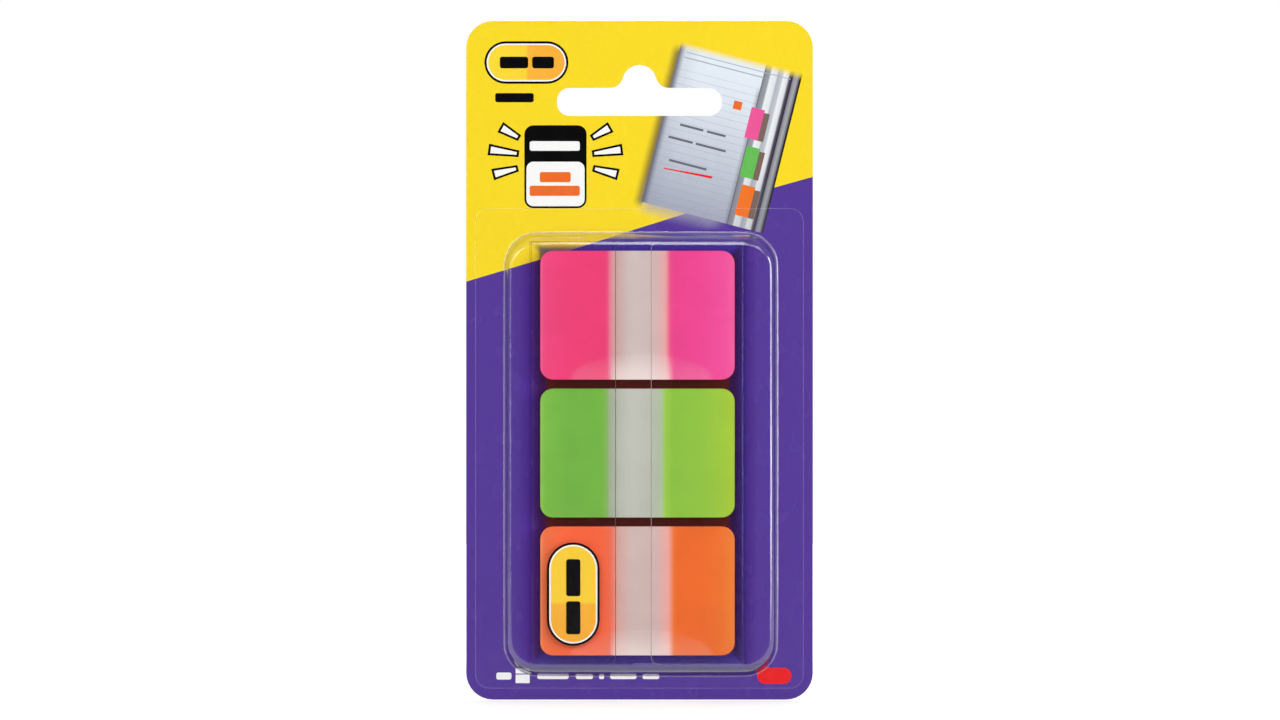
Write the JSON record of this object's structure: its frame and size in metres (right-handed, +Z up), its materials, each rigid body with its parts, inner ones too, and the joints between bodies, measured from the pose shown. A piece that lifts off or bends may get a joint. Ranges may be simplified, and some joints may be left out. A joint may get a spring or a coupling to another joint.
{
  "type": "carded blister pack of sticky index tabs",
  "caption": "Hanging retail pack of sticky index tabs: printed board card with a hang slot, clear formed blister, and coloured tab pads in a clear folded sleeve.",
  "frame": {"origin": "where a peg carries the pack: the top of the hang slot's hump, in the plane of the card's back", "axes": "+Z up as the pack hangs, the printed front looks along -Y, +X to the right as seen from the front"},
  "size_m": [0.0684, 0.0071, 0.1342],
  "materials": {
    "board": "uncoated paperboard",
    "ink_purple": "printed and lacquered",
    "ink_yellow": "printed and lacquered",
    "ink_black": "printed and lacquered",
    "ink_white": "printed and lacquered",
    "ink_amber": "printed and lacquered",
    "ink_red": "printed and lacquered",
    "ink_page": "printed and lacquered",
    "ink_leaves": "printed and lacquered",
    "ink_cover": "printed and lacquered",
    "clear_plastic": "clear and glossy",
    "film_frosted": "frosted film",
    "film_pale": "frosted film",
    "pink_front": "coloured coat, satin",
    "pink_behind": "coloured coat under film, satin",
    "green_front": "coloured coat, satin",
    "green_behind": "coloured coat under film, satin",
    "orange_front": "coloured coat, satin",
    "orange_behind": "coloured coat under film, satin"
  },
  "bodies": {
    "root": {"backing_card": "board", "print_purple": "ink_purple", "print_yellow": "ink_yellow", "picture_cover": "ink_cover", "picture_leaves": "ink_leaves", "picture_page": "ink_page", "badge_frame": "ink_black", "badge_window": "ink_white", "emblem_rim": "ink_black", "emblem_face": "ink_amber", "red_mark": "ink_red", "picture_tab_pink": "pink_front", "picture_tab_green": "green_front", "picture_tab_orange": "orange_front", "blister": "clear_plastic", "dispenser_sleeve": "clear_plastic", "pink_tab_01": "pink_behind", "pink_tab_02": "pink_front", "pink_tab_03": "pink_behind", "pink_tab_04": "pink_front", "pink_tab_05": "pink_behind", "pink_tab_06": "pink_front", "pink_tab_07": "pink_behind", "pink_tab_08": "pink_front", "pink_tab_09": "pink_behind", "pink_tab_10": "pink_front", "pink_tab_11": "film_pale", "pink_tab_12": "film_frosted", "pink_coat_front": "pink_front", "pink_coat_behind": "pink_behind", "green_tab_01": "green_behind", "green_tab_02": "green_front", "green_tab_03": "green_behind", "green_tab_04": "green_front", "green_tab_05": "green_behind", "green_tab_06": "green_front", "green_tab_07": "green_behind", "green_tab_08": "green_front", "green_tab_09": "green_behind", "green_tab_10": "green_front", "green_tab_11": "film_pale", "green_tab_12": "film_frosted", "green_coat_front": "green_front", "green_coat_behind": "green_behind", "orange_tab_01": "orange_behind", "orange_tab_02": "orange_front", "orange_tab_03": "orange_behind", "orange_tab_04": "orange_front", "orange_tab_05": "orange_behind", "orange_tab_06": "orange_front", "orange_tab_07": "orange_behind", "orange_tab_08": "orange_front", "orange_tab_09": "orange_behind", "orange_tab_10": "orange_front", "orange_tab_11": "film_pale", "orange_tab_12": "film_frosted", "orange_coat_front": "orange_front", "orange_coat_behind": "orange_behind", "label_rim": "ink_black", "label_face": "ink_amber"}
  },
  "joints": []
}
